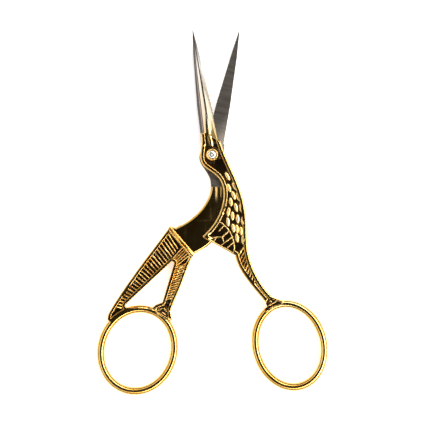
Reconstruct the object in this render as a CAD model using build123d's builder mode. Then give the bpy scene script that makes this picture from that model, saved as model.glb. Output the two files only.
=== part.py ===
from build123d import *
import math
import os

os.makedirs("parts", exist_ok=True)

# The pivot axis is Z, the tips point to +Y, and the underside of the back half lies on Z = 0.
# Both halves are drawn closed, one over the other. The back half is then turned about the
# pivot by the angle that the scissors stand open.

# Overall sizes
open_angle = 20.6
blade_length = 37.8
blade_lean = 8.5
body_width = 10.8
body_length = 30.0
half_thickness = 2.2
inner_gap = 0.05

# Blades
blade_width = 5.2
blade_thickness = 2.05
heel_flat_height = 1.0

# Legs and finger rings
front_ring_reach = 23.3
front_ring_drop = 57.2
front_hole_half_width = 9.0
front_hole_half_length = 11.5
front_ring_tilt = 15.6
back_ring_reach = -0.28
back_ring_drop = 62.7
back_hole_half_width = 9.75
back_hole_half_length = 11.3
back_ring_tilt = 3.4
ring_bar_width = 2.3
ring_bar_thickness = 3.25
ring_rounding = 1.0
leg_taper_start = 27.0
leg_gap_rounding = 0.5
rump_clearance = 0.5

# Collar, where the wing of the front half comes to rest
wing_clearance = 0.3
collar_overhang = 1.7
collar_length = 11.1
collar_bar_width = 1.5
collar_groove_width = 0.6
collar_groove_depth = 0.3

# Raised ornament
relief_depth = 0.35
rim_width = 1.2
leg_rim_width = 1.0
wing_rim_width = 0.5
edge_rounding = 0.4
collar_rounding = 0.3
recess_rounding = 0.3
border_radius = 0.2
ridge_width = 0.44
ridge_height = 0.25
ridge_rounding_share = 0.43
rib_count = 25
fan_rib_count = 5
fine_rib_count = 14
stroke_count = 13
feather_length = 2.1
feather_width = 0.95
feather_lean = 28.0
feather_sink = 0.2
ornament_sink = 0.06
gilded_recess = 0.1

# Pivot screw and the eye around its end
screw_radius = 1.25
screw_clearance = 0.03
screw_head_radius = 2.1
screw_head_height = 0.9
screw_head_sink = 0.1
screw_head_clearance = 0.05
screw_edge = 0.2
screw_end_rise = 0.15
screw_dimple_radius = 0.4
slot_width = 0.5
slot_depth = 0.4
eye_ring_radius = 1.58
eye_ring_bead = 0.27

overrun = 5.0

# Levels that follow
front_inner = half_thickness + inner_gap
top = front_inner + half_thickness
middle = top / 2
leg_top = middle + ring_bar_thickness / 2
leg_bottom = middle - ring_bar_thickness / 2
counterbore_depth = screw_head_sink + screw_head_height
screw_end_level = top - relief_depth + screw_end_rise

# Outline of the bird, as shares of the body's width and length from the pivot
neck_shares = [
    (-0.317, 0.217),
    (-0.294, 0.157),
    (-0.297, 0.087),
    (-0.325, 0.007),
    (-0.278, -0.088),
    (-0.056, -0.161),
    (0.181, -0.233),
    (0.300, -0.323),
    (0.292, -0.493),
    (0.111, -0.658),
    (-0.250, -0.813),
]
wing_tip_share = (-0.236, -0.830)
wing_heel_share = (0.639, -1.003)
spine_shares = [(0.950, -0.633), (0.839, -0.413), (0.619, -0.203), (0.403, -0.033), (0.231, 0.137)]
front_rump_shares = [(1.014, -0.983), (0.972, -0.833)]
back_rump_shares = [(0.754, -0.883), (0.850, -0.820), (0.925, -0.730)]
head_top_share = (-0.111, 0.212)
heel_flat_shares = [(-0.080, 0.192), (0.020, 0.270), (0.220, 0.215), (0.220, 0.127)]

# Ornament of the bird, as shares of the body's width and length from the pivot; a feather's
# third share is that of the lean at the neck
feather_shares = [
    (0.431, -0.218, 1.00),
    (0.472, -0.333, 0.70),
    (0.625, -0.318, 0.95),
    (0.597, -0.408, 0.75),
    (0.722, -0.423, 0.75),
    (0.522, -0.473, 0.30),
    (0.667, -0.528, 0.50),
    (0.806, -0.533, 0.35),
    (0.458, -0.573, -0.30),
    (0.569, -0.613, 0.10),
    (0.714, -0.643, 0.15),
    (0.444, -0.673, 0.20),
    (0.592, -0.733, 0.35),
    (0.694, -0.743, 0.20),
]
rump_feather_shares = [
    (0.853, -0.663, 0.10),
    (0.806, -0.763, 0.25),
    (0.694, -0.833, 0.30),
    (0.867, -0.853, 0.15),
]
wing_arc_shares = [(0.222, -0.673), (0.486, -0.768), (0.603, -0.985)]
back_wing_arc_shares = [(0.222, -0.673), (0.507, -0.781), (0.616, -0.924)]
wing_field_shares = [(0.160, 1.0), (0.915, 1.0), (0.915, 4.0), (0.350, 4.0)]
head_field_shares = [(-0.185, 0.150), (-0.207, 0.240), (0.012, 0.240), (0.127, 0.123), (0.090, 0.090)]
wing_vein_shares = [
    ((-0.083, -0.843), (0.111, -0.823)),
    ((0.111, -0.823), (0.278, -0.823)),
    ((0.278, -0.823), (0.472, -0.763)),
    ((0.278, -0.823), (0.319, -0.863)),
    ((0.111, -0.828), (0.056, -0.863)),
    ((0.194, -0.763), (0.333, -0.708)),
    ((0.236, -0.908), (0.542, -0.828)),
    ((0.389, -0.943), (0.583, -0.878)),
    ((-0.083, -0.803), (0.139, -0.708)),
]
gilded_line_shares = [(0.056, -0.338), (1.009, -0.209)]

# Front leg, as shares of the way from the rump to the centre of its ring
front_leg_inner_shares = [(-0.240, 0.114), (-0.070, 0.246), (0.150, 0.379), (0.384, 0.504)]
front_foot_shares = [(0.500, 0.600), (0.860, 0.510)]
front_leg_outer_shares = [(0.600, 0.467), (0.420, 0.379), (0.232, 0.246), (0.096, 0.114)]
stroke_start_shares = [(-0.270, 0.025), (-0.180, 0.125), (-0.028, 0.224), (0.120, 0.323), (0.372, 0.489)]
stroke_end_shares = [(-0.132, -0.096), (-0.048, 0.047), (0.048, 0.180), (0.204, 0.312), (0.444, 0.456)]
front_recess_shares = [
    (0.446, 0.506),
    (0.562, 0.487),
    (0.864, 0.536),
    (0.624, 0.561),
    (0.492, 0.599),
    (0.398, 0.638),
]
front_twig_shares = [((0.500, 0.561), (0.684, 0.512)), ((0.530, 0.508), (0.562, 0.518))]

# Back legs, as shares of the ring's outer half width and of the way to its centre
back_leg_outer_shares = [(-0.451, -0.006), (-0.660, 0.257), (-0.851, 0.520), (-1.000, 0.780)]
back_foot_shares = [(-0.968, 0.835), (-0.880, 0.850), (0.000, 0.600), (0.460, 0.650), (0.546, 0.630)]
back_leg_inner_shares = [(0.434, 0.567), (0.443, 0.399), (0.457, 0.280), (0.450, 0.162)]
leg_gap_shares = [(0.082, 0.086), (-0.710, 0.676), (-0.046, 0.605), (0.030, 0.550), (0.160, 0.511)]
rib_start_shares = [(-0.297, -0.115), (-0.949, 0.720)]
rib_end_shares = [(0.054, -0.015), (-0.045, 0.114), (-0.758, 0.703)]
fan_start_shares = [(0.010, 0.089), (0.194, 0.150)]
fan_end_shares = [(0.140, -0.045), (0.403, 0.029)]
fine_start_shares = [(0.155, 0.162), (0.236, 0.483)]
fine_end_shares = [(0.380, 0.086), (0.390, 0.446)]
back_recess_shares = [
    (0.067, 0.599),
    (0.211, 0.532),
    (0.343, 0.536),
    (0.380, 0.590),
    (0.447, 0.629),
    (0.238, 0.610),
]
back_twig_shares = [
    ((0.135, 0.592), (0.200, 0.566)),
    ((0.250, 0.595), (0.345, 0.605)),
    ((0.250, 0.556), (0.325, 0.572)),
]

# Share of a face's tilt up to which it counts as level
level_share = 0.05

# Points kept along each curve of a sunk field's outline
field_point_shares = [0.0, 0.03, 0.1, 0.2, 0.3, 0.4, 0.5, 0.6, 0.7, 0.8, 0.9, 0.97, 1.0]

# Blade, from root to tip: shares of its length, of its width on the spine's side and on the
# edge's side of the axis, and of its thickness
blade_station_shares = [
    (0.066, 0.530, 0.470, 1.000),
    (0.410, 0.433, 0.375, 0.850),
    (0.800, 0.225, 0.135, 0.480),
    (1.000, 0.060, -0.015, 0.200),
]
# Outer side of the blade, from spine to edge: shares of the width and of the thickness
blade_facet_shares = [
    (0.00, 0.00),
    (0.00, 0.50),
    (0.18, 0.80),
    (0.51, 1.00),
    (0.64, 1.00),
    (1.00, 0.05),
    (1.00, 0.00),
]


def in_bird(share):
    """Place a share of the bird's width and length, counted from the pivot."""
    return Vector(share[0] * body_width, share[1] * body_length)


def in_front_leg(share):
    """Place a share of the way from the bird's rump to the centre of the front ring."""
    return Vector(
        body_width + share[0] * (front_ring_reach - body_width),
        -body_length - share[1] * (front_ring_drop - body_length),
    )


def in_back_leg(share):
    """Place a share of the back ring's outer half width and of the way down to its centre."""
    return Vector(
        back_ring_reach + share[0] * (back_hole_half_width + ring_bar_width),
        -body_length - share[1] * (back_ring_drop - body_length),
    )


# The collar's edge runs along the wing's lower edge, clear of it when the scissors are closed
wing_tip = in_bird(wing_tip_share)
wing_heel = in_bird(wing_heel_share)
wing_way = (wing_heel - wing_tip).normalized()
wing_out = Vector(wing_way.Y, -wing_way.X)
collar_left = wing_tip + wing_out * wing_clearance - wing_way * collar_overhang
collar_right = collar_left + wing_way * collar_length


def in_wing(share):
    """Place a share of the wing's lower edge, and a share of its rim's width inwards."""
    along = wing_tip + (wing_heel - wing_tip) * share[0]
    return along - wing_out * share[1] * wing_rim_width


# The outer faces of the legs fall from the bird's thickness to the ring's
front_fall = (top - leg_top) / (front_ring_drop - front_hole_half_length - ring_bar_width - leg_taper_start)
back_rise = leg_bottom / (back_ring_drop - back_hole_half_length - ring_bar_width - leg_taper_start)
front_slope = Plane(
    origin=(0, 0, top + front_fall * leg_taper_start), x_dir=(1, 0, 0), z_dir=(0, -front_fall, 1)
)
back_slope = Plane(origin=(0, 0, -back_rise * leg_taper_start), x_dir=(1, 0, 0), z_dir=(0, back_rise, 1))


def on_front_field(point, sink):
    """Set a point of the front half's plan a little below its sunk outer field."""
    fall = front_fall * max(0, -leg_taper_start - point.Y)
    return Vector(point.X, point.Y, top - relief_depth - sink - fall)


def on_back_field(point, sink):
    """Set a point of the back half's plan a little inside its sunk outer field."""
    rise = back_rise * max(0, -leg_taper_start - point.Y)
    return Vector(point.X, point.Y, relief_depth + sink + rise)


# Plans, seen from above
with BuildSketch() as front_plan:
    with BuildLine():
        neck = Spline(*[in_bird(share) for share in neck_shares])
        leg_inside = Spline(wing_heel, *[in_front_leg(share) for share in front_leg_inner_shares])
        back = Spline(
            *[in_front_leg(share) for share in front_leg_outer_shares],
            *[in_bird(share) for share in front_rump_shares + spine_shares],
        )
        Polyline(neck @ 1, wing_tip, leg_inside @ 0)
        Polyline(leg_inside @ 1, *[in_front_leg(share) for share in front_foot_shares], back @ 0)
        Polyline(back @ 1, in_bird(head_top_share), neck @ 0)
    make_face()

with BuildSketch() as front_leg_plan:
    add(front_plan.sketch)
    with Locations((0, -body_length - rump_clearance)):
        Rectangle(2 * front_ring_drop, front_ring_drop, align=(Align.CENTER, Align.MIN), mode=Mode.SUBTRACT)

with BuildSketch() as back_body_plan:
    with BuildLine():
        neck = Spline(*[in_bird(share) for share in neck_shares])
        back = Spline(collar_right, *[in_bird(share) for share in back_rump_shares + spine_shares])
        Polyline(neck @ 1, collar_left, collar_right)
        Polyline(back @ 1, in_bird(head_top_share), neck @ 0)
    make_face()

with BuildSketch() as leg_gap:
    with BuildLine():
        Polyline(*[in_back_leg(share) for share in leg_gap_shares], close=True)
    make_face()
    fillet(leg_gap.vertices(), radius=leg_gap_rounding)

with BuildSketch() as back_leg_outline:
    with BuildLine():
        outer = Spline(collar_left, *[in_back_leg(share) for share in back_leg_outer_shares])
        inner = Spline(*[in_back_leg(share) for share in back_leg_inner_shares], collar_right)
        Polyline(outer @ 1, *[in_back_leg(share) for share in back_foot_shares], inner @ 0)
        Line(inner @ 1, collar_left)
    make_face()

with BuildSketch() as back_leg_plan:
    add(back_leg_outline.sketch)
    add(leg_gap.sketch, mode=Mode.SUBTRACT)

with BuildSketch() as front_recess:
    with BuildLine():
        Polyline(*[in_front_leg(share) for share in front_recess_shares], close=True)
    make_face()
    fillet(front_recess.vertices(), radius=recess_rounding)

with BuildSketch() as back_recess:
    with BuildLine():
        Polyline(*[in_back_leg(share) for share in back_recess_shares], close=True)
    make_face()
    fillet(back_recess.vertices(), radius=recess_rounding)

with BuildSketch() as heel_flat_plan:
    with BuildLine():
        Polyline(*[in_bird(share) for share in heel_flat_shares], close=True)
    make_face()


def finger_ring(reach, drop, half_width, half_length, tilt):
    """Make a finger ring, its bar rounded all round."""
    with BuildPart() as ring:
        with BuildSketch(Plane.XY.offset(leg_bottom)):
            with Locations((reach, -drop)):
                Ellipse(half_width + ring_bar_width, half_length + ring_bar_width, rotation=tilt)
                Ellipse(half_width, half_length, rotation=tilt, mode=Mode.SUBTRACT)
        extrude(amount=ring_bar_thickness)
        fillet(ring.faces().filter_by(Axis.Z).edges(), radius=ring_rounding)
    return ring.part


def ring_disc(reach, drop, half_width, half_length, tilt, growth):
    """Draw the finger hole of a ring, grown by some of the bar's width."""
    with BuildSketch() as disc:
        with Locations((reach, -drop)):
            Ellipse(half_width + growth, half_length + growth, rotation=tilt)
    return disc.sketch


def blade(inner_level, side):
    """Loft a blade from its flat inner face, outer side up (1) or down (-1)."""
    lean = math.radians(blade_lean)
    across = Vector(-math.cos(lean), -math.sin(lean)) * side
    way = Vector(-math.sin(lean), math.cos(lean))
    with BuildPart() as body:
        for station, spine, edge, thickness in blade_station_shares:
            width = (spine + edge) * blade_width
            spot = way * station * blade_length + Vector(0, 0, inner_level)
            with BuildSketch(Plane(origin=spot, x_dir=across, z_dir=way)):
                with BuildLine():
                    Polyline(
                        *[
                            (spine * blade_width - x * width, z * thickness * blade_thickness)
                            for x, z in blade_facet_shares
                        ],
                        close=True,
                    )
                make_face()
        loft(ruled=True)
    return body.part


def ridges(pairs, field, side):
    """Make a round-topped ridge between each pair of points on a field that looks up (1) or down (-1)."""
    with BuildPart() as raised:
        with BuildSketch(field.offset(-side * ornament_sink)):
            for start, end in pairs:
                SlotCenterPoint((start + end) / 2, end, ridge_width)
        extrude(amount=side * (ridge_height + ornament_sink))
        crowns = raised.faces().filter_by(lambda face: face.normal_at().Z * side > 1 - level_share)
        fillet(crowns.edges(), radius=ridge_rounding_share * ridge_width)
    return raised.part


def spread(start_rail, end_rail, count):
    """Pair up evenly spread points of two rails."""
    shares = [(number + 0.5) / count for number in range(count)]
    return [(start_rail @ share, end_rail @ share) for share in shares]


def placed(pairs, place):
    """Place both shares of each pair."""
    return [(place(start), place(end)) for start, end in pairs]


def feathers(shares, settle):
    """Lay long oval feathers on the field, half sunk in it."""
    with BuildPart() as feather:
        with BuildSketch(Plane.XY):
            Ellipse(feather_width / 2, feather_length / 2)
            with Locations((feather_width, 0)):
                Rectangle(2 * feather_width, 2 * feather_length, mode=Mode.SUBTRACT)
        revolve(axis=Axis.Y)
    with BuildPart() as plumage:
        for x, y, lean in shares:
            with Locations(Location(settle(in_bird((x, y)), feather_sink), (0, 0, feather_lean * lean))):
                add(feather.part)
    return plumage.part


def wing_border(shares, settle):
    """Lay the bead that parts the wing from the body's feathers along an arc."""
    with BuildPart() as border:
        with BuildLine(Plane.XY):
            arc = ThreePointArc(*[settle(in_bird(share), ornament_sink) for share in shares])
        with BuildSketch(Plane(origin=arc @ 0, z_dir=arc % 0)):
            Circle(border_radius)
        sweep(path=arc)
    return border.part


front_ring_sizes = (
    front_ring_reach,
    front_ring_drop,
    front_hole_half_width,
    front_hole_half_length,
    front_ring_tilt,
)
back_ring_sizes = (
    back_ring_reach,
    back_ring_drop,
    back_hole_half_width,
    back_hole_half_length,
    back_ring_tilt,
)


def sunk_field(plan, rim, disc):
    """Draw the sunk field inside a plan's rim, up to the ring's bar."""
    with BuildSketch() as inside:
        add(plan)
        offset(amount=-rim)
    with BuildSketch() as field:
        with BuildLine():
            for edge in inside.edges():
                if edge.geom_type == GeomType.LINE:
                    Line(edge @ 0, edge @ 1)
                else:
                    Spline(*[edge @ share for share in field_point_shares], tangents=(edge % 0, edge % 1))
        make_face()
        add(disc, mode=Mode.SUBTRACT)
    return field.sketch


def curved_edges(part, side, low, high):
    """Choose the curved edges of the faces that look up (1) or down (-1), between two levels."""
    looking = part.faces().filter_by(lambda face: face.normal_at().Z * side > 1 - level_share)
    edges = looking.edges().filter_by(GeomType.BSPLINE)
    return edges.filter_by(lambda edge: low <= (edge @ 0.5).Z <= high)


front_disc = ring_disc(*front_ring_sizes, ring_bar_width)
back_disc = ring_disc(*back_ring_sizes, ring_bar_width)

# The wing's field reaches closer to its lower edge than the rest, and the head's runs out
# between the rims to the blade
with BuildSketch() as front_field:
    add(sunk_field(front_plan.sketch, rim_width, front_disc))
    with BuildLine():
        Polyline(*[in_wing(share) for share in wing_field_shares], close=True)
    make_face()
    with BuildLine():
        Polyline(*[in_bird(share) for share in head_field_shares], close=True)
    make_face()
front_leg_field = sunk_field(front_leg_plan.sketch, leg_rim_width, front_disc)
back_body_field = sunk_field(back_body_plan.sketch, rim_width, back_disc)

# The legs' field stops short of the collar's bar, which has a groove along it
collar_middle = (collar_left + collar_right) / 2
collar_plane = Plane(origin=collar_middle, x_dir=wing_way, z_dir=(0, 0, 1))
with BuildSketch(collar_plane) as collar_bar:
    with Locations((0, -collar_bar_width)):
        Rectangle(2 * collar_length, collar_length, align=(Align.CENTER, Align.MIN))
with BuildSketch(collar_plane) as collar_groove:
    with Locations((0, -collar_bar_width / 2)):
        Rectangle(2 * collar_length, collar_groove_width)
with BuildSketch() as gap_rim:
    add(leg_gap.sketch)
    offset(amount=leg_rim_width)
with BuildSketch() as back_leg_field:
    add(sunk_field(back_leg_outline.sketch, leg_rim_width, back_disc))
    add(gap_rim.sketch, mode=Mode.SUBTRACT)
    add(collar_bar.sketch, mode=Mode.SUBTRACT)

# Below this line the back half's inner face is gilded instead of ground, a little lower
with BuildSketch() as gilded_plan:
    with BuildLine():
        Polyline(
            *[in_bird(share) for share in gilded_line_shares],
            collar_right + wing_way * overrun,
            collar_left - wing_way * overrun,
            close=True,
        )
    make_face()

# Rails that the ribs, the fan above the gap, the fine ribs and the front leg's strokes run between
with BuildLine() as rails:
    rib_starts = Line(*[in_back_leg(share) for share in rib_start_shares])
    rib_ends = Polyline(*[in_back_leg(share) for share in rib_end_shares])
    fan_starts = Line(*[in_back_leg(share) for share in fan_start_shares])
    fan_ends = Line(*[in_back_leg(share) for share in fan_end_shares])
    fine_starts = Line(*[in_back_leg(share) for share in fine_start_shares])
    fine_ends = Line(*[in_back_leg(share) for share in fine_end_shares])
    stroke_starts = Spline(*[in_front_leg(share) for share in stroke_start_shares])
    stroke_ends = Spline(*[in_front_leg(share) for share in stroke_end_shares])

back_leg_ridges = [
    *spread(rib_starts, rib_ends, rib_count),
    *spread(fan_starts, fan_ends, fan_rib_count),
    *spread(fine_starts, fine_ends, fine_rib_count),
]

with BuildPart() as front_half:
    # Bird and leg as one plate, the leg also reaching below the middle
    with BuildSketch(Plane.XY.offset(front_inner)):
        add(front_plan.sketch)
    extrude(amount=half_thickness)
    with BuildSketch(Plane.XY.offset(leg_bottom)):
        add(front_leg_plan.sketch)
    extrude(amount=front_inner - leg_bottom)
    with BuildSketch(front_slope):
        Rectangle(2 * front_ring_drop, 2 * front_ring_drop)
    extrude(amount=overrun, mode=Mode.SUBTRACT)
    # The plate ends on the crown of the ring's bar
    with BuildSketch():
        add(ring_disc(*front_ring_sizes, ring_bar_width / 2))
    extrude(amount=top + overrun, mode=Mode.SUBTRACT)
    fillet(curved_edges(front_half.part, 1, front_inner, top), radius=edge_rounding)
    fillet(curved_edges(front_half.part, -1, 0, middle), radius=edge_rounding)
    # Sunk fields inside raised rims
    for face_plane in (Plane.XY.offset(top), front_slope):
        with BuildSketch(face_plane):
            add(front_field.sketch)
        extrude(amount=-relief_depth, mode=Mode.SUBTRACT)
    with BuildSketch(Plane.XY.offset(leg_bottom)):
        add(front_leg_field)
    extrude(amount=relief_depth, mode=Mode.SUBTRACT)
    # Blade with its heel flat, and ring
    add(blade(front_inner, 1))
    with BuildSketch(Plane.XY.offset(front_inner + heel_flat_height)):
        add(heel_flat_plan.sketch)
    extrude(amount=half_thickness, mode=Mode.SUBTRACT)
    add(finger_ring(*front_ring_sizes))
    # Raised ornament
    add(feathers(feather_shares + rump_feather_shares, on_front_field))
    add(wing_border(wing_arc_shares, on_front_field))
    add(ridges(placed(wing_vein_shares, in_bird), Plane.XY.offset(top - relief_depth), 1))
    add(ridges(spread(stroke_starts, stroke_ends, stroke_count), front_slope.offset(-relief_depth), 1))
    # Recess with a twig where the leg meets the ring
    with BuildSketch(Plane.XY.offset(leg_top)):
        add(front_recess.sketch)
    extrude(amount=-relief_depth, mode=Mode.SUBTRACT)
    add(ridges(placed(front_twig_shares, in_front_leg), Plane.XY.offset(leg_top - relief_depth), 1))
    # Eye around the screw's end, and the threaded hole
    with Locations(on_front_field(Vector(), ornament_sink)):
        Torus(eye_ring_radius, eye_ring_bead)
    with Locations((0, 0, middle)):
        Cylinder(screw_radius, 2 * top, mode=Mode.SUBTRACT)
front_half.part.label = "front_half"
export_step(front_half.part, "parts/front_half.step")

with BuildPart() as closed_back_half:
    # Bird as a plate below the middle, and the legs through the whole thickness
    with BuildSketch():
        add(back_body_plan.sketch)
    extrude(amount=half_thickness)
    with BuildSketch():
        add(back_leg_plan.sketch)
    extrude(amount=leg_top)
    with BuildSketch(back_slope):
        Rectangle(2 * back_ring_drop, 2 * back_ring_drop)
    extrude(amount=-overrun, mode=Mode.SUBTRACT)
    with BuildSketch(Plane.XY.offset(-overrun)):
        add(ring_disc(*back_ring_sizes, ring_bar_width / 2))
    extrude(amount=top + 2 * overrun, mode=Mode.SUBTRACT)
    collar_edge = closed_back_half.edges().sort_by_distance(collar_middle + Vector(0, 0, leg_top))[0]
    fillet(curved_edges(closed_back_half.part, 1, middle, top) + [collar_edge], radius=collar_rounding)
    fillet(curved_edges(closed_back_half.part, -1, -overrun, middle), radius=edge_rounding)
    # Sunk fields inside raised rims
    with BuildSketch():
        add(back_body_field)
    extrude(amount=relief_depth, mode=Mode.SUBTRACT)
    with BuildSketch(back_slope):
        add(back_leg_field.sketch)
    extrude(amount=relief_depth, mode=Mode.SUBTRACT)
    with BuildSketch(Plane.XY.offset(leg_top)):
        add(back_leg_field.sketch)
    extrude(amount=-relief_depth, mode=Mode.SUBTRACT)
    with BuildSketch(Plane.XY.offset(leg_top)):
        add(collar_groove.sketch)
    extrude(amount=-collar_groove_depth, mode=Mode.SUBTRACT)
    # Inner face, a little lower where it is gilded
    with BuildSketch(Plane.XY.offset(half_thickness - gilded_recess)):
        add(gilded_plan.sketch)
    extrude(amount=half_thickness, mode=Mode.SUBTRACT)
    # Blade and ring
    add(blade(half_thickness, -1))
    add(finger_ring(*back_ring_sizes))
    # Raised ornament
    add(feathers(feather_shares, on_back_field))
    add(wing_border(back_wing_arc_shares, on_back_field))
    add(ridges(placed(wing_vein_shares, in_bird), Plane.XY.offset(relief_depth), -1))
    add(ridges(back_leg_ridges, back_slope.offset(relief_depth), -1))
    add(ridges(back_leg_ridges, Plane.XY.offset(leg_top - relief_depth), 1))
    # Recess with a twig where the legs meet the ring
    with BuildSketch(Plane.XY.offset(leg_top)):
        add(back_recess.sketch)
    extrude(amount=-relief_depth, mode=Mode.SUBTRACT)
    add(ridges(placed(back_twig_shares, in_back_leg), Plane.XY.offset(leg_top - relief_depth), 1))
    # Plain hole and counterbore for the screw
    with Locations((0, 0, middle)):
        Cylinder(screw_radius + screw_clearance, 2 * top, mode=Mode.SUBTRACT)
    with BuildSketch(Plane.XY.offset(-overrun)):
        Circle(screw_head_radius + screw_head_clearance)
    extrude(amount=overrun + counterbore_depth, mode=Mode.SUBTRACT)

with BuildPart() as back_half:
    add(closed_back_half.part, rotation=(0, 0, -open_angle))
back_half.part.label = "back_half"
export_step(back_half.part, "parts/back_half.step")

with BuildPart() as pivot_screw:
    # Slotted head, with the shank rising from it to the bird's eye
    with BuildSketch(Plane.XY.offset(screw_head_sink)):
        Circle(screw_head_radius)
    extrude(amount=screw_head_height)
    with BuildSketch(Plane.XY.offset(counterbore_depth)):
        Circle(screw_radius)
    extrude(amount=screw_end_level - counterbore_depth)
    chamfer(pivot_screw.edges().sort_by(Axis.Z)[0], length=screw_edge)
    chamfer(pivot_screw.edges().sort_by(Axis.Z)[-1], length=screw_edge)
    with BuildSketch(Plane.XY.offset(screw_head_sink)):
        Rectangle(2 * screw_head_radius, slot_width)
    extrude(amount=slot_depth, mode=Mode.SUBTRACT)
    # Dimple in the end
    with Locations((0, 0, screw_end_level)):
        Sphere(screw_dimple_radius, mode=Mode.SUBTRACT)
pivot_screw.part.label = "pivot_screw"
export_step(pivot_screw.part, "parts/pivot_screw.step")
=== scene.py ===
import bpy
import math
from mathutils import Euler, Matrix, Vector


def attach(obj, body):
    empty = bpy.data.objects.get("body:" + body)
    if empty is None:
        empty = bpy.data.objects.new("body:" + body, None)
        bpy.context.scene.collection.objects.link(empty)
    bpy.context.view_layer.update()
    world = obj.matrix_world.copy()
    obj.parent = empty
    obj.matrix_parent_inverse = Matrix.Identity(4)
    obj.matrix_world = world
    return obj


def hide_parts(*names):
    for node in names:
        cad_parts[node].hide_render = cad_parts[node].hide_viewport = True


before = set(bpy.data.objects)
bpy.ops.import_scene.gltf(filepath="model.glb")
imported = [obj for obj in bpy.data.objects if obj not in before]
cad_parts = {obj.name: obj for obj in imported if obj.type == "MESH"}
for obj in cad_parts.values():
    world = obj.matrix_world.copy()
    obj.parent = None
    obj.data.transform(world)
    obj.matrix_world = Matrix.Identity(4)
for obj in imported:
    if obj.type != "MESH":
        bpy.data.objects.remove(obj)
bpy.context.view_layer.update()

MM = 0.001

# Levels of the two halves, above the underside of the back half
HALF_TOP = 4.45 * MM
FRONT_INNER = 2.25 * MM
BACK_INNER = 2.2 * MM
GILDED_INNER = 2.1 * MM
LEG_TOP = 3.85 * MM
LEG_BOTTOM = 0.6 * MM
FIELD_DEPTH = 0.35 * MM

# Fall of the legs' outer faces, in millimetres. It starts below the body and ends where the
# ring begins: at the ring's middle less half of its opening and the width of its bar.
LEG_FALL = 0.6
FALL_START = 27.0
FRONT_RING_TOP = 57.2 - 11.5 - 2.3
BACK_RING_TOP = 62.7 - 11.3 - 2.3
FRONT_FALL = LEG_FALL / (FRONT_RING_TOP - FALL_START)
BACK_RISE = LEG_FALL / (BACK_RING_TOP - FALL_START)

# How far the back half is turned about the pivot in the open scissors
BACK_TURN = math.radians(-20.6)

# Where one finish gives way to the next, along the scissors from the pivot
FRONT_BLADE_START = 6.3 * MM
BACK_BLADE_START = 7.0 * MM
FRONT_GROUND_END = -9.0 * MM
COLLAR_LINE = -32.0 * MM

# The back half's blade lies to the right of this line
BACK_BLADE_SIDE = 0.5 * MM

# Rounding of the edges, and the angles above which a crease stays sharp
FRONT_RIM_ROUNDING = 0.2 * MM
BACK_RIM_ROUNDING = 0.18 * MM
BORDER_ROUNDING = 0.6 * MM
SAME_LEVEL = 0.02 * MM
CREASE = 36
SCREW_CREASE = 28
FEATHER_CREASE = 60
FACET_CREASE = math.radians(6)


# Working on meshes

def work_on(piece):
    """Make one piece the only one selected, and the active one."""
    if bpy.context.object and bpy.context.object.mode != "OBJECT":
        bpy.ops.object.mode_set(mode="OBJECT")
    bpy.ops.object.select_all(action="DESELECT")
    piece.select_set(True)
    bpy.context.view_layer.objects.active = piece


def forging(node, name):
    """Take a half or the screw over from the CAD as one welded surface."""
    piece = bpy.data.objects.new(name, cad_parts[node].data.copy())
    bpy.context.scene.collection.objects.link(piece)
    piece.data.materials.clear()
    work_on(piece)
    bpy.ops.object.mode_set(mode="EDIT")
    bpy.ops.mesh.select_all(action="SELECT")
    bpy.ops.mesh.remove_doubles(threshold=0.001 * MM)
    bpy.ops.mesh.dissolve_limited(angle_limit=math.radians(0.3))
    bpy.ops.mesh.quads_convert_to_tris(ngon_method="BEAUTY")
    bpy.ops.object.mode_set(mode="OBJECT")
    return piece


def faces_beside(mesh):
    """List the faces on either side of each edge, by the edge's two points."""
    beside = {}
    for face in mesh.polygons:
        for key in face.edge_keys:
            beside.setdefault(key, []).append(face)
    return [(edge, beside.get(tuple(sorted(edge.vertices)), [])) for edge in mesh.edges]


def rounded_edges(piece, wanted, width):
    """Bevel the wanted ones of the edges where a level face meets an upright one."""
    work_on(piece)
    bpy.ops.object.mode_set(mode="EDIT")
    bpy.ops.mesh.select_mode(type="EDGE")
    bpy.ops.mesh.select_all(action="DESELECT")
    bpy.ops.object.mode_set(mode="OBJECT")
    mesh = piece.data
    for edge, faces in faces_beside(mesh):
        if len(faces) != 2:
            continue
        upright = [face for face in faces if abs(face.normal.z) < 0.2]
        flat = [face for face in faces if abs(face.normal.z) > 0.99]
        if len(upright) != 1 or len(flat) != 1:
            continue
        middle = (mesh.vertices[edge.vertices[0]].co + mesh.vertices[edge.vertices[1]].co) / 2
        edge.select = wanted(middle, flat[0], upright[0])
    bpy.ops.object.mode_set(mode="EDIT")
    bpy.ops.mesh.bevel(offset=width, segments=3, affect="EDGES", clamp_overlap=False)
    bpy.ops.object.mode_set(mode="OBJECT")


def smoothed(piece, angle, facet_start=None):
    """Shade smooth, keep the creases sharper than an angle and let the flats stay flat.

    Beyond facet_start, up the blade, even the shallow creases between the ground facets stay crisp.
    """
    work_on(piece)
    bpy.ops.object.shade_smooth_by_angle(angle=math.radians(angle))
    if facet_start is not None:
        for edge, faces in faces_beside(piece.data):
            if len(faces) == 2 and min(face.center.y for face in faces) > facet_start:
                if faces[0].normal.angle(faces[1].normal, 0.0) > FACET_CREASE:
                    edge.use_edge_sharp = True
    modifier = piece.modifiers.new("flat faces keep their normals", "WEIGHTED_NORMAL")
    modifier.keep_sharp = True
    bpy.ops.object.modifier_apply(modifier=modifier.name)


# Node groups that several finishes share

def group(name, inputs, outputs):
    """Start a shader group with its sockets; return it with its two ends."""
    tree = bpy.data.node_groups.new(name, "ShaderNodeTree")
    for label, kind, value in inputs:
        socket = tree.interface.new_socket(label, in_out="INPUT", socket_type=kind)
        if value is not None:
            socket.default_value = value
    for label, kind in outputs:
        tree.interface.new_socket(label, in_out="OUTPUT", socket_type=kind)
    return tree, tree.nodes.new("NodeGroupInput"), tree.nodes.new("NodeGroupOutput")


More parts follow.
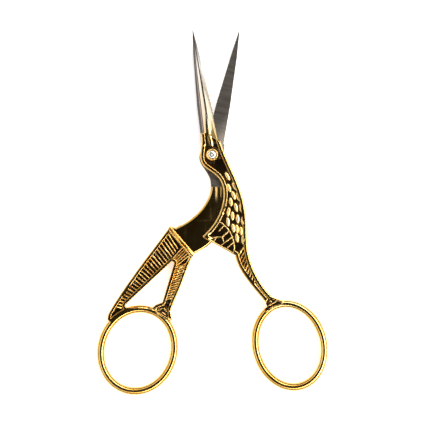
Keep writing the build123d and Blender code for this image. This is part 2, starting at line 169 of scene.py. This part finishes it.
def math_node(tree, operation, first, second=None, third=None):
    """Add a math node; an operand is a socket or a number."""
    node = tree.nodes.new("ShaderNodeMath")
    node.operation = operation
    for slot, value in enumerate((first, second, third)):
        if value is None:
            continue
        if isinstance(value, (int, float)):
            node.inputs[slot].default_value = value
        else:
            tree.links.new(value, node.inputs[slot])
    return node.outputs[0]


def noise(tree, vector, scale, detail=2.0, rough=0.5, stretch=None):
    """Add a noise texture on a vector, stretched if asked, and return its value."""
    if stretch:
        mapping = tree.nodes.new("ShaderNodeMapping")
        mapping.inputs["Scale"].default_value = stretch
        tree.links.new(vector, mapping.inputs["Vector"])
        vector = mapping.outputs[0]
    node = tree.nodes.new("ShaderNodeTexNoise")
    node.inputs["Scale"].default_value = scale
    node.inputs["Detail"].default_value = detail
    node.inputs["Roughness"].default_value = rough
    tree.links.new(vector, node.inputs["Vector"])
    return node.outputs["Fac"]


def sloped(tree, value, low, high, to_low=0.0, to_high=1.0):
    """Spread a value from one range over another, held at its ends."""
    node = tree.nodes.new("ShaderNodeMapRange")
    node.interpolation_type = "SMOOTHSTEP"
    for label, number in (("From Min", low), ("From Max", high), ("To Min", to_low), ("To Max", to_high)):
        node.inputs[label].default_value = number
    tree.links.new(value, node.inputs["Value"])
    return node.outputs["Result"]


def blended(tree, factor, first, second):
    """Mix two colours by a factor; a colour is a socket or four numbers."""
    node = tree.nodes.new("ShaderNodeMix")
    node.data_type = "RGBA"
    tree.links.new(factor, node.inputs[0])
    for socket, value in ((node.inputs[6], first), (node.inputs[7], second)):
        if isinstance(value, tuple):
            socket.default_value = value
        else:
            tree.links.new(value, socket)
    return node.outputs[2]


def handling_marks():
    """Fine hairline scratches and faint smears that every polished face picks up."""
    tree, start, end = group(
        "handling_marks",
        [("Vector", "NodeSocketVector", None), ("Strength", "NodeSocketFloat", 1.0)],
        [("Scratches", "NodeSocketFloat"), ("Smears", "NodeSocketFloat")],
    )
    vector = start.outputs["Vector"]
    along = noise(tree, vector, 900.0, 1.0, stretch=(1.0, 0.08, 1.0))
    across = noise(tree, vector, 700.0, 1.0, stretch=(0.1, 1.0, 1.0))
    along = sloped(tree, along, 0.62, 0.72)
    across = sloped(tree, across, 0.66, 0.76)
    thin = math_node(tree, "MAXIMUM", along, across)
    tree.links.new(math_node(tree, "MULTIPLY", thin, start.outputs["Strength"]), end.inputs["Scratches"])
    smear = sloped(tree, noise(tree, vector, 90.0, 4.0, 0.6), 0.42, 0.68)
    tree.links.new(math_node(tree, "MULTIPLY", smear, start.outputs["Strength"]), end.inputs["Smears"])
    return tree


def field_depth():
    """Mask of the sunk fields, which lie level a little inside a half's outer face, where the plating is
    painted with a dark reflection.
    """
    tree, start, end = group(
        "field_depth",
        [
            ("Vector", "NodeSocketVector", None),
            ("Normal", "NodeSocketVector", None),
            ("Face level", "NodeSocketFloat", HALF_TOP / MM),
            ("Side", "NodeSocketFloat", 1.0),
            ("Turn", "NodeSocketFloat", 0.0),
            ("Fall", "NodeSocketFloat", 0.0),
            ("Most fall", "NodeSocketFloat", LEG_FALL),
        ],
        [("Sunk", "NodeSocketFloat")],
    )
    split = tree.nodes.new("ShaderNodeSeparateXYZ")
    tree.links.new(start.outputs["Vector"], split.inputs[0])
    down = math_node(tree, "MULTIPLY", split.outputs["Y"], math_node(tree, "COSINE", start.outputs["Turn"]))
    aside = math_node(tree, "MULTIPLY", split.outputs["X"], math_node(tree, "SINE", start.outputs["Turn"]))
    along = math_node(tree, "MULTIPLY", math_node(tree, "SUBTRACT", aside, down), 1000.0)
    past = math_node(tree, "MAXIMUM", math_node(tree, "SUBTRACT", along, FALL_START), 0.0)
    fallen = math_node(tree, "MULTIPLY", past, start.outputs["Fall"])
    fallen = math_node(tree, "MINIMUM", fallen, start.outputs["Most fall"])
    height = math_node(tree, "MULTIPLY", split.outputs["Z"], 1000.0)
    drop = math_node(tree, "SUBTRACT", start.outputs["Face level"], height)
    drop = math_node(tree, "MULTIPLY", drop, start.outputs["Side"])
    depth = math_node(tree, "SUBTRACT", drop, fallen)
    deep_enough = sloped(tree, depth, 0.28, 0.345)
    too_deep = sloped(tree, depth, 0.40, 0.46)
    floor_level = math_node(tree, "SUBTRACT", deep_enough, too_deep)
    facing = tree.nodes.new("ShaderNodeSeparateXYZ")
    tree.links.new(start.outputs["Normal"], facing.inputs[0])
    level_face = math_node(tree, "MULTIPLY", facing.outputs["Z"], start.outputs["Side"])
    sunk = math_node(tree, "MULTIPLY", floor_level, sloped(tree, level_face, 0.85, 0.97))
    tree.links.new(sunk, end.inputs["Sunk"])
    return tree


marks = handling_marks()
depths = field_depth()


def use(tree, shared, **values):
    """Place a shared group in a material with its own values."""
    node = tree.nodes.new("ShaderNodeGroup")
    node.node_tree = shared
    for label, value in values.items():
        socket = node.inputs[label.replace("_", " ")]
        if isinstance(value, (int, float)):
            socket.default_value = value
        else:
            tree.links.new(value, socket)
    return node


def finish_of(name):
    """Start a material; return its tree, its shader and the Object coordinates."""
    material = bpy.data.materials.new(name)
    material.use_nodes = True
    tree = material.node_tree
    shader = tree.nodes["Principled BSDF"]
    coordinates = tree.nodes.new("ShaderNodeTexCoord")
    return material, tree, shader, coordinates.outputs["Object"]


def bumped(tree, shader, height, strength, distance):
    """Feed a height into the shader's normal."""
    node = tree.nodes.new("ShaderNodeBump")
    node.inputs["Strength"].default_value = strength
    node.inputs["Distance"].default_value = distance
    tree.links.new(height, node.inputs["Height"])
    tree.links.new(node.outputs[0], shader.inputs["Normal"])


GOLD = (0.93, 0.52, 0.11, 1.0)
PALE_GOLD = (0.99, 0.69, 0.27, 1.0)
# Near black for a painted reflection of the dark overhead, in the sunk fields and along the blade's line
PAINTED_DARK_REFLECTION = (0.035, 0.020, 0.008, 1.0)
STEEL = (0.80, 0.77, 0.74, 1.0)
# Warm steel for a painted reflection of a tan surrounding on the blade near the root
PAINTED_WARM_REFLECTION_STEEL = (0.84, 0.72, 0.54, 1.0)
# Darker steel for the spine facet: painted shade
PAINTED_SHADE_SPINE_STEEL = (0.42, 0.35, 0.33, 1.0)
# Dark steel for the blade's point: a painted reflection
PAINTED_DARK_POINT_STEEL = (0.10, 0.080, 0.065, 1.0)
GROUND_STEEL = (0.098, 0.086, 0.076, 1.0)
LIT_GROUND_STEEL = (0.155, 0.137, 0.121, 1.0)
CLOUDED_STEEL = (0.20, 0.175, 0.152, 1.0)
TURNED_STEEL = (0.74, 0.73, 0.72, 1.0)
LIT_TURNED_STEEL = (0.84, 0.83, 0.81, 1.0)


def streaked(tree, place, rough, streaks):
    """Dull the plating in bands, each given by its x, its half width and its upper and lower end."""
    split = tree.nodes.new("ShaderNodeSeparateXYZ")
    tree.links.new(place, split.inputs[0])
    for x, half_width, upper, lower in streaks:
        away = math_node(tree, "ABSOLUTE", math_node(tree, "SUBTRACT", split.outputs["X"], x))
        band = sloped(tree, away, half_width, 0.3 * half_width)
        band = math_node(tree, "MULTIPLY", band, sloped(tree, split.outputs["Y"], lower, upper))
        rough = math_node(tree, "MULTIPLY_ADD", band, 0.34, rough)
    return rough


def gold_plate(name, streaks=(), **levels):
    """Polished gold plating whose recesses behind the ornament are dull and painted near black as a painted
    reflection of the dark overhead, or with dull streaks.
    """
    material, tree, shader, place = finish_of(name)
    facing = tree.nodes.new("ShaderNodeNewGeometry").outputs["True Normal"]
    worn = use(tree, marks, Vector=place, Strength=1.0)
    tone = sloped(tree, noise(tree, place, 140.0, 3.0), 0.3, 0.7)
    plated = blended(tree, tone, GOLD, PALE_GOLD)
    shader.inputs["Metallic"].default_value = 1.0
    if levels:
        sunk = use(tree, depths, Vector=place, Normal=facing, **levels)
        # Painted reflection: the sunk fields are coloured near black, though their plating is the same gold
        colour = blended(tree, sunk.outputs["Sunk"], plated, PAINTED_DARK_REFLECTION)
        rough = math_node(tree, "MULTIPLY_ADD", sunk.outputs["Sunk"], 0.14, 0.12)
    else:
        colour = plated
        rough = math_node(tree, "MULTIPLY_ADD", tone, 0.03, 0.07)
    rough = math_node(tree, "MULTIPLY_ADD", worn.outputs["Smears"], 0.06, rough)
    rough = math_node(tree, "MULTIPLY_ADD", worn.outputs["Scratches"], 0.05, rough)
    if streaks:
        rough = streaked(tree, place, rough, streaks)
    tree.links.new(colour, shader.inputs["Base Color"])
    tree.links.new(rough, shader.inputs["Roughness"])
    if levels:
        bumped(tree, shader, noise(tree, place, 260.0, 2.0), 0.08, 0.1 * MM)
    else:
        bumped(tree, shader, noise(tree, place, 330.0, 1.0, stretch=(1.0, 0.18, 1.0)), 0.7, 0.1 * MM)
    return material


def blade_steel(name, line=None):
    """Polished steel of the outer facets, with the gold plating fading in towards the root.

    A line, given by its x at the pivot's height and its lean, carries the head's painted dark
    reflection on up the blade as a thin line, and parts the spine, painted darker as painted shade,
    from the bright facet.
    """
    material, tree, shader, place = finish_of(name)
    worn = use(tree, marks, Vector=place, Strength=1.0)
    split = tree.nodes.new("ShaderNodeSeparateXYZ")
    tree.links.new(place, split.inputs[0])
    wander = math_node(tree, "MULTIPLY_ADD", noise(tree, place, 120.0, 2.0), 4.0, -2.0)
    height = math_node(tree, "MULTIPLY_ADD", split.outputs["Y"], 1000.0, wander)
    plated = sloped(tree, height, 12.5, 5.5)
    # Painted reflection: from 30 mm down to 10 mm up the blade the bare steel turns warm
    bare = blended(tree, sloped(tree, height, 30.0, 10.0), STEEL, PAINTED_WARM_REFLECTION_STEEL)
    colour = blended(tree, plated, bare, PALE_GOLD)
    if line:
        centre = math_node(tree, "MULTIPLY_ADD", split.outputs["Y"], line[1], line[0])
        inside = math_node(tree, "SUBTRACT", split.outputs["X"], centre)
        inside = math_node(tree, "MULTIPLY", inside, 1000.0)
        # Painted shade: left of the line the spine facet is coloured darker steel
        colour = blended(tree, sloped(tree, inside, 0.05, -0.15), colour, PAINTED_SHADE_SPINE_STEEL)
        # Painted reflection: a thin near-black line runs along the crease
        painted_dark_line = sloped(tree, math_node(tree, "ABSOLUTE", inside), 0.16, 0.05)
        colour = blended(tree, painted_dark_line, colour, PAINTED_DARK_REFLECTION)
        # The head's painted dark reflection narrows to a point along the crease between the two facets
        wedge_edge = sloped(tree, split.outputs["Y"], 6.0 * MM, 15.0 * MM, 0.6, 1.2)
        past_edge = sloped(tree, math_node(tree, "SUBTRACT", inside, wedge_edge), -0.04, 0.08)
        painted_dark_wedge = math_node(tree, "MULTIPLY", past_edge, sloped(tree, inside, 1.34, 1.24))
        colour = blended(tree, painted_dark_wedge, colour, PAINTED_DARK_REFLECTION)
    # Painted reflection: from 25 mm up the blade the steel darkens towards the point
    colour = blended(tree, sloped(tree, height, 25.0, 34.5), colour, PAINTED_DARK_POINT_STEEL)
    tree.links.new(colour, shader.inputs["Base Color"])
    shader.inputs["Metallic"].default_value = 1.0
    grain = noise(tree, place, 1500.0, 2.0, stretch=(0.06, 1.0, 1.0))
    rough = math_node(tree, "MULTIPLY_ADD", grain, 0.1, 0.12)
    rough = math_node(tree, "MULTIPLY_ADD", worn.outputs["Smears"], 0.05, rough)
    tree.links.new(rough, shader.inputs["Roughness"])
    bumped(tree, shader, grain, 0.06, 0.05 * MM)
    return material


def ground_steel(name):
    """Ground inner face: darker steel with grinding lines across the blade."""
    material, tree, shader, place = finish_of(name)
    turned = tree.nodes.new("ShaderNodeMapping")
    turned.inputs["Rotation"].default_value = (0.0, 0.0, math.radians(12.0))
    tree.links.new(place, turned.inputs["Vector"])
    lines = noise(tree, turned.outputs[0], 4200.0, 2.0, stretch=(0.03, 1.0, 1.0))
    cloud = noise(tree, place, 160.0, 4.0, 0.6)
    colour = blended(tree, sloped(tree, lines, 0.3, 0.7), GROUND_STEEL, LIT_GROUND_STEEL)
    colour = blended(tree, sloped(tree, cloud, 0.35, 0.75, 0.0, 0.35), colour, CLOUDED_STEEL)
    tree.links.new(colour, shader.inputs["Base Color"])
    shader.inputs["Metallic"].default_value = 1.0
    rough = math_node(tree, "MULTIPLY_ADD", lines, 0.2, 0.28)
    tree.links.new(rough, shader.inputs["Roughness"])
    bumped(tree, shader, lines, 0.25, 0.05 * MM)
    return material


def turned_steel(name):
    """Bright turned steel of the screw, with fine turning rings about its axis."""
    material, tree, shader, place = finish_of(name)
    worn = use(tree, marks, Vector=place, Strength=1.0)
    split = tree.nodes.new("ShaderNodeSeparateXYZ")
    tree.links.new(place, split.inputs[0])
    across = math_node(tree, "POWER", split.outputs["X"], 2.0)
    along = math_node(tree, "POWER", split.outputs["Y"], 2.0)
    radius = math_node(tree, "SQRT", math_node(tree, "ADD", across, along))
    rings = math_node(tree, "SINE", math_node(tree, "MULTIPLY", radius, 95000.0))
    colour = blended(tree, sloped(tree, rings, -1.0, 1.0), TURNED_STEEL, LIT_TURNED_STEEL)
    tree.links.new(colour, shader.inputs["Base Color"])
    shader.inputs["Metallic"].default_value = 1.0
    rough = math_node(tree, "MULTIPLY_ADD", worn.outputs["Smears"], 0.1, 0.25)
    tree.links.new(rough, shader.inputs["Roughness"])
    bumped(tree, shader, rings, 0.05, 0.01 * MM)
    return material


def dressed(piece, materials, choose):
    """Give every face of a piece the material that its place asks for."""
    for material in materials:
        piece.data.materials.append(material)
    for face in piece.data.polygons:
        face.material_index = choose(face)


# Front half

def on_front_rim(point, flat, upright):
    """Tell the top edges of the front half's rims."""
    fall = FRONT_FALL * max(0.0, -FALL_START * MM - point.y)
    return flat.normal.z > 0 and abs(point.z - (HALF_TOP - fall)) < 0.03 * MM


front = forging("front_half", "front_half_forging")
rounded_edges(front, on_front_rim, FRONT_RIM_ROUNDING)
smoothed(front, CREASE, facet_start=FRONT_BLADE_START)


def front_finish(face):
    """Choose plating, blade steel or ground steel for a face of the front half."""
    inner = face.normal.z < -0.99 and abs(face.center.z - FRONT_INNER) < SAME_LEVEL
    if inner and face.center.y > FRONT_GROUND_END:
        return 2
    if face.center.y > FRONT_BLADE_START:
        return 1
    return 3 if face.normal.z < 0 else 0


dressed(
    front,
    [
        gold_plate("gilded_front", Face_level=HALF_TOP / MM, Fall=FRONT_FALL),
        blade_steel("blade_steel_front", line=(-1.65 * MM, -0.116)),
        ground_steel("ground_steel_front"),
        gold_plate("gilded_front_underside", Face_level=LEG_BOTTOM / MM, Side=-1.0),
    ],
    front_finish,
)
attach(front, "front")
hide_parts("front_half")


# Back half

def on_back_rim(point, flat, upright):
    """Tell the top edges of the back half's rims."""
    return flat.normal.z > 0 and abs(point.z - LEG_TOP) < SAME_LEVEL


def on_body_side(point, flat, upright):
    """Tell the edges where the body's gilded inner face meets its sides."""
    inner = flat.normal.z > 0 and abs(point.z - GILDED_INNER) < SAME_LEVEL
    return inner and upright.center.z < GILDED_INNER - SAME_LEVEL / 2


back = forging("back_half", "back_half_forging")
rounded_edges(back, on_back_rim, BACK_RIM_ROUNDING)
rounded_edges(back, on_body_side, BORDER_ROUNDING)
smoothed(back, CREASE, facet_start=BACK_BLADE_START)


def back_finish(face):
    """Choose plating, blade steel or ground steel for a face of the back half."""
    if face.normal.z > 0.99 and abs(face.center.z - BACK_INNER) < SAME_LEVEL:
        return 2
    if face.center.y > BACK_BLADE_START and face.center.x > BACK_BLADE_SIDE:
        return 1
    if face.normal.z < 0:
        return 3
    recessed = face.center.z < (GILDED_INNER + BACK_INNER) / 2
    return 4 if recessed and face.center.y > COLLAR_LINE else 0


dressed(
    back,
    [
        gold_plate("gilded_back", Face_level=LEG_TOP / MM),
        blade_steel("blade_steel_back"),
        ground_steel("ground_steel_back"),
        gold_plate("gilded_back_underside", Face_level=0.0, Side=-1.0, Fall=BACK_RISE, Turn=BACK_TURN),
        gold_plate(
            "gilded_inner_face",
            streaks=[
                (1.3 * MM, 0.5 * MM, -11.0 * MM, -15.0 * MM),
                (2.7 * MM, 0.35 * MM, -10.5 * MM, -14.5 * MM),
            ],
        ),
    ],
    back_finish,
)
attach(back, "back")
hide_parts("back_half")


# Feathers, modelled once and laid over the small ones of the forging

# Each feather's middle, in millimetres from the pivot, and its lean in degrees
FEATHER_PLACES = [
    (4.65, -6.54, 28),
    (5.10, -9.99, 20),
    (6.75, -9.54, 27),
    (6.45, -12.24, 21),
    (7.80, -12.69, 21),
    (5.64, -14.19, 8),
    (7.20, -15.84, 14),
    (8.70, -15.99, 10),
    (4.95, -17.19, -8),
    (6.15, -18.39, 3),
    (7.71, -19.29, 4),
    (4.80, -20.19, 6),
    (6.39, -21.99, 10),
    (7.50, -22.29, 6),
    (9.21, -19.89, 3),
    (8.70, -22.89, 7),
    (7.50, -24.99, 8),
    (9.30, -25.59, 4),
]
UNDERSIDE_FEATHERS = 14

# A feather's width, length and height as a full oval, and its raised shaft, in millimetres
FEATHER_SIZE = (1.22, 2.9, 0.56)
FEATHER_TAPER = 0.22
FEATHER_ROOT = 0.06
SHAFT_HALF_WIDTH = 0.12
SHAFT_HALF_LENGTH = 1.3
SHAFT_RAISE = 0.05


def feather():
    """Shape one feather: an oval drawn to a blunt tip below, with its shaft raised down the middle."""
    bpy.ops.object.select_all(action="DESELECT")
    bpy.ops.mesh.primitive_uv_sphere_add(
        segments=20, ring_count=10, radius=0.5 * MM, rotation=(math.pi / 2, 0, 0)
    )
    piece = bpy.context.object
    bpy.ops.object.transform_apply(location=True, rotation=True, scale=True)
    bpy.ops.object.mode_set(mode="EDIT")
    bpy.ops.mesh.select_all(action="SELECT")
    bpy.ops.transform.resize(value=FEATHER_SIZE)
    bpy.ops.object.mode_set(mode="OBJECT")
    for vertex in piece.data.vertices:
        low = max(0.0, -vertex.co.y / (FEATHER_SIZE[1] / 2 * MM))
        vertex.co.x *= 1.0 - FEATHER_TAPER * low * low
        across = max(0.0, 1.0 - abs(vertex.co.x) / (SHAFT_HALF_WIDTH * MM))
        along = max(0.0, 1.0 - abs(vertex.co.y) / (SHAFT_HALF_LENGTH * MM))
        vertex.co.z += SHAFT_RAISE * MM * across * along if vertex.co.z > 0 else 0.0
    bpy.ops.object.mode_set(mode="EDIT")
    bpy.ops.mesh.select_all(action="SELECT")
    bpy.ops.mesh.bisect(
        plane_co=(0, 0, -FEATHER_ROOT * MM), plane_no=(0, 0, 1), clear_inner=True, use_fill=True
    )
    bpy.ops.mesh.select_all(action="SELECT")
    bpy.ops.mesh.normals_make_consistent(inside=False)
    bpy.ops.object.mode_set(mode="OBJECT")
    return piece


def plumage(name, places, level, over, turn):
    """Lay a copy of the feather at each place on a half's sunk field and join them.

    The places are in the closed half's own frame: over rolls a feather to face down, and turn
    swings them all about the pivot with the half.
    """
    pattern = feather()
    laid = []
    for x, y, lean in places:
        copy = bpy.data.objects.new("feather", pattern.data.copy())
        bpy.context.scene.collection.objects.link(copy)
        spot = Vector((x * MM, y * MM, level))
        spot.rotate(Euler((0, 0, turn)))
        copy.location = spot
        copy.rotation_euler = (0, over, turn + math.radians(lean))
        laid.append(copy)
    bpy.data.objects.remove(pattern)
    bpy.ops.object.select_all(action="DESELECT")
    for copy in laid:
        copy.select_set(True)
    bpy.context.view_layer.objects.active = laid[0]
    bpy.ops.object.transform_apply(location=True, rotation=True, scale=True)
    bpy.ops.object.join()
    piece = bpy.context.object
    piece.name = name
    work_on(piece)
    bpy.ops.object.transform_apply(location=True, rotation=True, scale=True)
    bpy.ops.object.shade_smooth_by_angle(angle=math.radians(FEATHER_CREASE))
    return piece


def gilded(feathers, plating, body):
    """Plate a set of feathers as the half under it is plated, and let it ride on that half."""
    feathers.data.materials.clear()
    feathers.data.materials.append(bpy.data.materials[plating])
    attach(feathers, body)


front_plumage = plumage("front_plumage", FEATHER_PLACES, HALF_TOP - FIELD_DEPTH, 0.0, 0.0)
gilded(front_plumage, "gilded_front", "front")

# The back half's body is narrower at the rump, so the last feathers are left out underneath
underside_places = FEATHER_PLACES[:UNDERSIDE_FEATHERS]
back_plumage = plumage("back_plumage", underside_places, FIELD_DEPTH, math.pi, BACK_TURN)
gilded(back_plumage, "gilded_back_underside", "back")


# Pivot screw

screw = forging("pivot_screw", "pivot_screw_turned")
smoothed(screw, SCREW_CREASE)
dressed(screw, [turned_steel("turned_steel")], lambda face: 0)
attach(screw, "front")
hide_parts("pivot_screw")


# Floor, light and camera

def floor_paper():
    """Plain white paper with a very faint tooth."""
    material, tree, shader, place = finish_of("floor_paper")
    tooth = noise(tree, place, 300.0, 3.0)
    white = blended(tree, tooth, (0.90, 0.90, 0.90, 1.0), (0.94, 0.94, 0.94, 1.0))
    tree.links.new(white, shader.inputs["Base Color"])
    shader.inputs["Roughness"].default_value = 0.9
    shader.inputs["Emission Color"].default_value = (1.0, 1.0, 1.0, 1.0)
    shader.inputs["Emission Strength"].default_value = 0.55
    return material


bpy.ops.object.select_all(action="DESELECT")
bpy.ops.mesh.primitive_plane_add(size=1.6, location=(0.0, -0.02, 0.0))
floor = bpy.context.object
floor.name = "floor_sheet"
floor.data.materials.append(floor_paper())


# Brightness of the tent's two sides, from straight below at 0 to straight overhead at 1. The
# right side holds a bright strip high up.
LEFT_TENT = [
    (0.00, 0.80),
    (0.51, 0.85),
    (0.58, 0.16),
    (0.79, 0.14),
    (0.88, 0.62),
    (1.00, 0.66),
]
RIGHT_TENT = [
    (0.00, 0.75),
    (0.51, 0.80),
    (0.58, 0.13),
    (0.80, 0.12),
    (0.87, 0.60),
    (0.895, 4.20),
    (0.930, 4.20),
    (0.955, 0.90),
    (1.00, 0.80),
]
TENT_STRENGTH = 2.1

# How narrow the opening overhead is, across the scissors and along them
OPENING_ACROSS = 3.0
OPENING_ALONG = 2.1


def tent_side(tree, height, stops):
    """Set how bright one side of the tent is from below the floor to straight overhead."""
    ramp = tree.nodes.new("ShaderNodeValToRGB")
    ramp.color_ramp.interpolation = "EASE"
    elements = ramp.color_ramp.elements
    while len(elements) < len(stops):
        elements.new(0.5)
    for element, (share, brightness) in zip(elements, stops):
        element.position = share
        element.color = (brightness, brightness * 0.985, brightness * 0.955, 1.0)
    tree.links.new(height, ramp.inputs[0])
    return ramp.outputs[0]


def studio_light():
    """Light from a white tent, its walls dimmer than its roof, with a dark opening for the camera."""
    world = bpy.data.worlds.new("white_tent")
    bpy.context.scene.world = world
    world.use_nodes = True
    tree = world.node_tree
    background = tree.nodes["Background"]
    way = tree.nodes.new("ShaderNodeTexCoord")
    split = tree.nodes.new("ShaderNodeSeparateXYZ")
    tree.links.new(way.outputs["Generated"], split.inputs[0])
    height = math_node(tree, "MULTIPLY_ADD", split.outputs["Z"], 0.5, 0.5)
    side = sloped(tree, split.outputs["X"], -0.25, 0.25)
    walls = blended(tree, side, tent_side(tree, height, LEFT_TENT), tent_side(tree, height, RIGHT_TENT))
    # The opening is longer than it is wide, and the tent's ends are dimmer than its sides
    wide = math_node(tree, "POWER", math_node(tree, "MULTIPLY", split.outputs["X"], OPENING_ACROSS), 2.0)
    long = math_node(tree, "POWER", math_node(tree, "MULTIPLY", split.outputs["Y"], OPENING_ALONG), 2.0)
    away = math_node(tree, "SQRT", math_node(tree, "ADD", wide, long))
    under = math_node(tree, "LESS_THAN", split.outputs["Z"], 0.0)
    lit = math_node(tree, "MAXIMUM", sloped(tree, away, 0.85, 1.3, 0.008, 1.0), under)
    ends = math_node(tree, "POWER", split.outputs["Y"], 2.0)
    lit = math_node(tree, "MULTIPLY", lit, math_node(tree, "MULTIPLY_ADD", ends, -0.45, 1.0))
    tree.links.new(walls, background.inputs["Color"])
    tree.links.new(math_node(tree, "MULTIPLY", lit, TENT_STRENGTH), background.inputs["Strength"])


studio_light()

# The camera looks straight down on the middle of the scissors
CAMERA_HEIGHT = 0.7
VIEW_WIDTH = 0.129
VIEW_MIDDLE = (0.9 * MM, -18.1 * MM)
SENSOR_WIDTH = 36.0
VIEW_LEVEL = 2.5 * MM
camera_data = bpy.data.cameras.new("camera")
camera = bpy.data.objects.new("camera", camera_data)
bpy.context.scene.collection.objects.link(camera)
camera.location = (*VIEW_MIDDLE, CAMERA_HEIGHT)
camera_data.sensor_width = SENSOR_WIDTH
camera_data.lens = SENSOR_WIDTH * (CAMERA_HEIGHT - VIEW_LEVEL) / VIEW_WIDTH
camera_data.clip_start = 0.01
bpy.context.scene.camera = camera
bpy.context.scene.view_settings.view_transform = "Standard"
